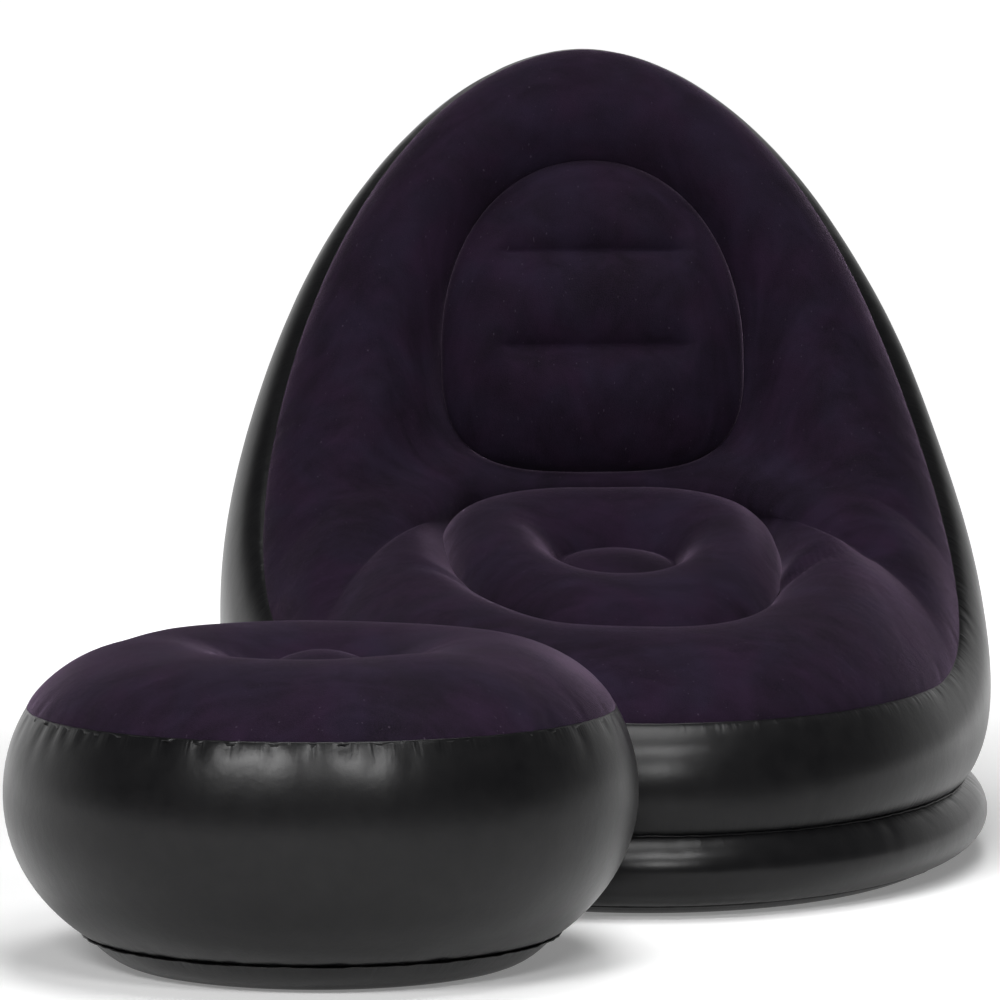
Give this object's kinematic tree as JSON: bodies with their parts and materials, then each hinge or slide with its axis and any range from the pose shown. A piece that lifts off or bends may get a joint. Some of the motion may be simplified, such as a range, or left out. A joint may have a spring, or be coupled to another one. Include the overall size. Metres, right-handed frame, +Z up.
{
  "type": "inflatable armchair with ottoman",
  "caption": "Inflatable egg-shaped lounge chair with a flocked seat and back pillow, a ring-shaped base and a round inflatable ottoman.",
  "frame": {"origin": "centre of the whole set's box on the floor, with the ottoman at rest in front of the chair's left side", "axes": "+Z up, -Y is the way the chair faces, +X towards the right in a front view"},
  "size_m": [1.1044, 1.6574, 0.8642],
  "materials": {
    "black_pvc": "smooth black vinyl with a soft gloss",
    "aubergine_flock": "short velvety flock",
    "inner_pvc": "plain vinyl",
    "valve_vinyl": "moulded soft vinyl"
  },
  "bodies": {
    "chair": {"base_bottom_sheet": "black_pvc", "base_ring_wall": "black_pvc", "body_side_wall": "black_pvc", "flocked_surround": "aubergine_flock", "flocked_seat_panel": "aubergine_flock", "flocked_back_pillow": "aubergine_flock", "base_divider_sheet": "inner_pvc", "base_tie_web_left": "inner_pvc", "base_tie_web_right": "inner_pvc", "seat_backing_sheet": "inner_pvc", "seat_tie_tube": "inner_pvc", "pillow_backing_sheet": "inner_pvc", "pillow_channel_web_lower": "inner_pvc", "pillow_channel_web_upper": "inner_pvc", "back_strap_left": "inner_pvc", "back_strap_right": "inner_pvc", "chair_valve_body": "valve_vinyl", "chair_valve_strap_ring": "valve_vinyl"},
    "chair_stopper": {"chair_valve_stopper": "valve_vinyl"},
    "chair_flap": {"chair_valve_check_flap": "valve_vinyl"},
    "ottoman": {"ottoman_bottom_sheet": "black_pvc", "ottoman_side_wall": "black_pvc", "ottoman_flocked_top": "aubergine_flock", "ottoman_tie_tube": "inner_pvc", "ottoman_valve_body": "valve_vinyl", "ottoman_valve_strap_ring": "valve_vinyl"},
    "ottoman_stopper": {"ottoman_valve_stopper": "valve_vinyl"},
    "ottoman_flap": {"ottoman_valve_check_flap": "valve_vinyl"}
  },
  "joints": [
    {"name": "ottoman_floor_slide", "type": "slide", "parent": "chair", "child": "ottoman", "axis": [0, -1, 0], "range_m": [0, 0.4]},
    {"name": "chair_stopper_hinge", "type": "hinge", "parent": "chair", "child": "chair_stopper", "pos_m": [0.14734, 0.82635, 0.19511], "axis": [0.0071, 0.0853, 0.9963], "range_deg": [0, 150]},
    {"name": "chair_flap_hinge", "type": "hinge", "parent": "chair", "child": "chair_flap", "pos_m": [0.14973, 0.80316, 0.19708], "axis": [-0.0071, -0.0853, -0.9963], "range_deg": [0, 50]},
    {"name": "ottoman_stopper_hinge", "type": "hinge", "parent": "ottoman", "child": "ottoman_stopper", "pos_m": [-0.35999, -0.23432, 0.1265], "axis": [-0.0864, 0.2316, 0.969], "range_deg": [0, 150]},
    {"name": "ottoman_flap_hinge", "type": "hinge", "parent": "ottoman", "child": "ottoman_flap", "pos_m": [-0.34817, -0.2537, 0.13218], "axis": [0.0864, -0.2316, -0.969], "range_deg": [0, 50]}
  ]
}
